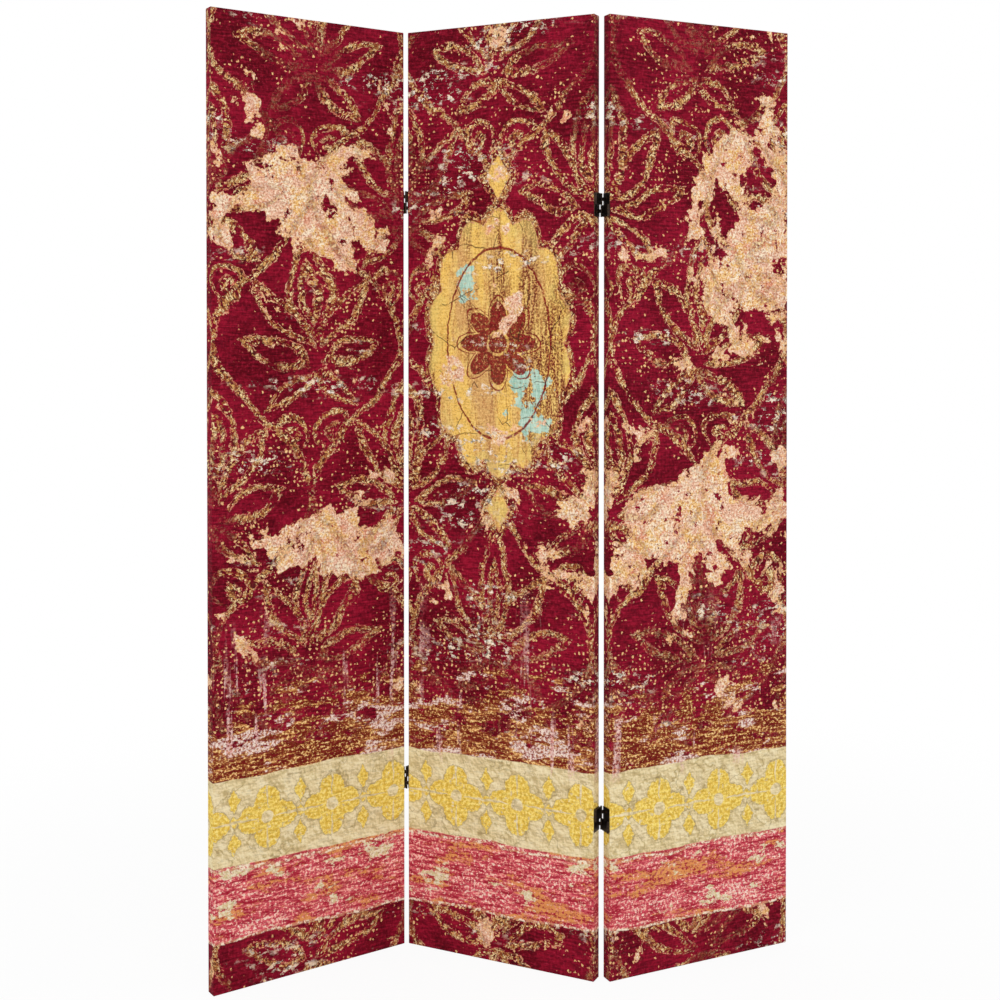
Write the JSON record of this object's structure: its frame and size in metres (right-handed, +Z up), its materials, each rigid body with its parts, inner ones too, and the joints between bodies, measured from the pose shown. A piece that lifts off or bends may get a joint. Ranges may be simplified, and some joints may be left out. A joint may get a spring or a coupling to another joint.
{
  "type": "folding screen",
  "caption": "Folding room screen of printed canvas panels on wooden stretcher frames, joined by two-way metal hinges.",
  "frame": {"origin": "on the floor, in the middle of the outline as it stands in the picture", "axes": "+Z up, -Y to the front as the picture sees it, +X to the right"},
  "size_m": [1.096, 0.2588, 1.8],
  "materials": {
    "front_print": "printed canvas, matt",
    "back_print": "printed canvas, matt",
    "frame_wood": "planed spruce",
    "hinge_bronze": "dark bronze, satin",
    "pin_steel": "blackened steel",
    "staple_steel": "bright wire"
  },
  "bodies": {
    "centre_panel": {"centre_panel_left_stile": "frame_wood", "centre_panel_right_stile": "frame_wood", "centre_panel_top_rail": "frame_wood", "centre_panel_bottom_rail": "frame_wood", "centre_panel_upper_cross_rail": "frame_wood", "centre_panel_lower_cross_rail": "frame_wood", "centre_panel_front_canvas": "front_print", "centre_panel_back_canvas": "back_print", "centre_panel_staples": "staple_steel", "left_seam_upper_hinge_right_leaf": "hinge_bronze", "left_seam_lower_hinge_right_leaf": "hinge_bronze", "left_seam_right_leaf_screws": "hinge_bronze", "right_seam_upper_hinge_left_leaf": "hinge_bronze", "right_seam_lower_hinge_left_leaf": "hinge_bronze", "right_seam_left_leaf_screws": "hinge_bronze", "left_seam_upper_hinge_top_link": "hinge_bronze", "left_seam_lower_hinge_top_link": "hinge_bronze", "left_seam_top_link_pins": "pin_steel", "right_seam_upper_hinge_top_link": "hinge_bronze", "right_seam_lower_hinge_top_link": "hinge_bronze", "right_seam_top_link_pins": "pin_steel"},
    "left_panel": {"left_panel_outer_stile": "frame_wood", "left_panel_hinge_stile": "frame_wood", "left_panel_top_rail": "frame_wood", "left_panel_bottom_rail": "frame_wood", "left_panel_upper_cross_rail": "frame_wood", "left_panel_lower_cross_rail": "frame_wood", "left_panel_front_canvas": "front_print", "left_panel_back_canvas": "back_print", "left_panel_staples": "staple_steel", "left_seam_upper_hinge_left_leaf": "hinge_bronze", "left_seam_lower_hinge_left_leaf": "hinge_bronze", "left_seam_left_leaf_screws": "hinge_bronze", "left_seam_upper_hinge_bottom_link": "hinge_bronze", "left_seam_lower_hinge_bottom_link": "hinge_bronze", "left_seam_bottom_link_pins": "pin_steel"},
    "right_panel": {"right_panel_hinge_stile": "frame_wood", "right_panel_outer_stile": "frame_wood", "right_panel_top_rail": "frame_wood", "right_panel_bottom_rail": "frame_wood", "right_panel_upper_cross_rail": "frame_wood", "right_panel_lower_cross_rail": "frame_wood", "right_panel_front_canvas": "front_print", "right_panel_back_canvas": "back_print", "right_panel_staples": "staple_steel", "right_seam_upper_hinge_right_leaf": "hinge_bronze", "right_seam_lower_hinge_right_leaf": "hinge_bronze", "right_seam_right_leaf_screws": "hinge_bronze", "right_seam_upper_hinge_bottom_link": "hinge_bronze", "right_seam_lower_hinge_bottom_link": "hinge_bronze", "right_seam_bottom_link_pins": "pin_steel"}
  },
  "joints": [
    {"name": "left_seam_fold", "type": "hinge", "parent": "centre_panel", "child": "left_panel", "pos_m": [-0.20449, 0.1038, 0], "axis": [0, 0, 1], "range_deg": [-61, 119]},
    {"name": "right_seam_fold", "type": "hinge", "parent": "centre_panel", "child": "right_panel", "pos_m": [0.17505, -0.04922, 0], "axis": [0, 0, 1], "range_deg": [-52, 128]}
  ]
}
